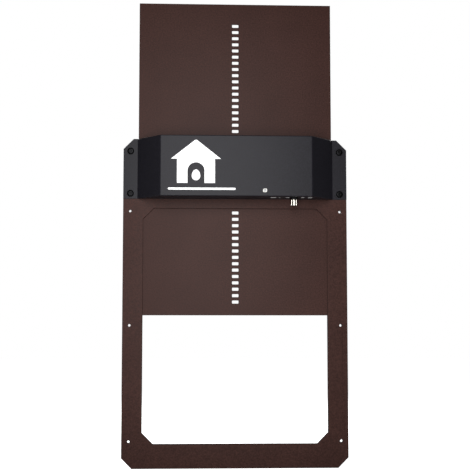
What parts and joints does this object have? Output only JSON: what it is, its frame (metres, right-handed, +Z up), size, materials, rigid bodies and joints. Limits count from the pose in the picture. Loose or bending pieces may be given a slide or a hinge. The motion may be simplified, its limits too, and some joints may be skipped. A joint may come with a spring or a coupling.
{
  "type": "automatic coop door",
  "caption": "Sliding coop door: a slotted panel in a flat aluminium frame, raised and lowered by a sprocket and worm drive under a sheet-metal control cover.",
  "frame": {"origin": "centre of the six wall-fixing holes, on the back face that lies against the wall", "axes": "+X to the right seen from the front, +Y into the wall, +Z up; the panel slides along Z"},
  "size_m": [0.32, 0.045, 0.6658],
  "materials": {
    "brown_coated_aluminium": "fine-textured matt powder coat",
    "bare_aluminium": "mill finish",
    "black_coated_steel": "fine-textured powder coat",
    "black_steel": "black oxide",
    "steel": "zinc plated",
    "bright_nickel": "nickel plated",
    "brass": "machined",
    "white_plastic": "moulded acetal",
    "black_plastic": "moulded",
    "green_plastic": "moulded",
    "circuit_board": "solder mask",
    "cell_jacket": "printed film",
    "photocell": "resin coated",
    "smoke_window": "clear moulded"
  },
  "bodies": {
    "frame": {"rear_frame": "brown_coated_aluminium", "front_frame": "brown_coated_aluminium", "guide_rail_left": "bare_aluminium", "guide_rail_right": "bare_aluminium", "bottom_stop": "bare_aluminium", "sill_rivets": "bare_aluminium", "side_rivets_left": "bare_aluminium", "side_rivets_right": "bare_aluminium", "top_rivets": "bare_aluminium", "wear_pads": "white_plastic", "cover": "black_coated_steel", "cover_screws": "black_steel", "sensor_bezel": "white_plastic", "sensor_window": "smoke_window", "sensor_holder": "black_plastic", "sensor_board": "circuit_board", "photocell": "photocell", "selector_switch": "black_plastic", "selector_nut": "black_steel", "motor": "bright_nickel", "gear_housing": "black_plastic", "motor_screws": "steel", "housing_screws": "steel", "shaft_bush_left": "brass", "shaft_bush_middle": "brass", "shaft_bush_right": "brass", "bearing_bracket": "steel", "bracket_screws": "steel", "battery_holder": "black_plastic", "battery_screws": "steel", "battery_cells": "cell_jacket", "battery_contacts": "bright_nickel", "controller_board": "circuit_board", "board_spacers": "white_plastic", "board_screws": "steel", "controller_chip": "black_plastic", "board_capacitors": "cell_jacket", "board_terminals": "green_plastic"},
    "door": {"door_panel": "brown_coated_aluminium"},
    "drive": {"sprocket": "white_plastic", "sprocket_pin": "steel", "drive_shaft": "steel", "shaft_clips": "steel", "worm_wheel": "white_plastic"},
    "rotor": {"worm": "brass", "motor_shaft": "steel"},
    "selector": {"selector_knob": "bright_nickel"}
  },
  "joints": [
    {"name": "door_slide", "type": "slide", "parent": "frame", "child": "door", "axis": [0, 0, 1], "range_m": [-0.185, 0.152]},
    {"name": "drive_spin", "type": "hinge", "parent": "frame", "child": "drive", "pos_m": [0, -0.01748, 0.2242], "axis": [1, 0, 0], "range_deg": [-733, 603]},
    {"name": "rotor_spin", "type": "hinge", "parent": "frame", "child": "rotor", "pos_m": [-0.0185, -0.02888, 0.2242], "axis": [0, 0, 1], "range_deg": [-14639, 12028]},
    {"name": "selector_turn", "type": "hinge", "parent": "frame", "child": "selector", "pos_m": [0.082, -0.029, 0.173], "axis": [0, 0, 1], "range_deg": [-135, 135]}
  ],
  "couplings": [
    {"joint": "drive_spin", "follows": "door_slide", "rad_per_m": 69.046},
    {"joint": "rotor_spin", "follows": "door_slide", "rad_per_m": 1380.9}
  ]
}
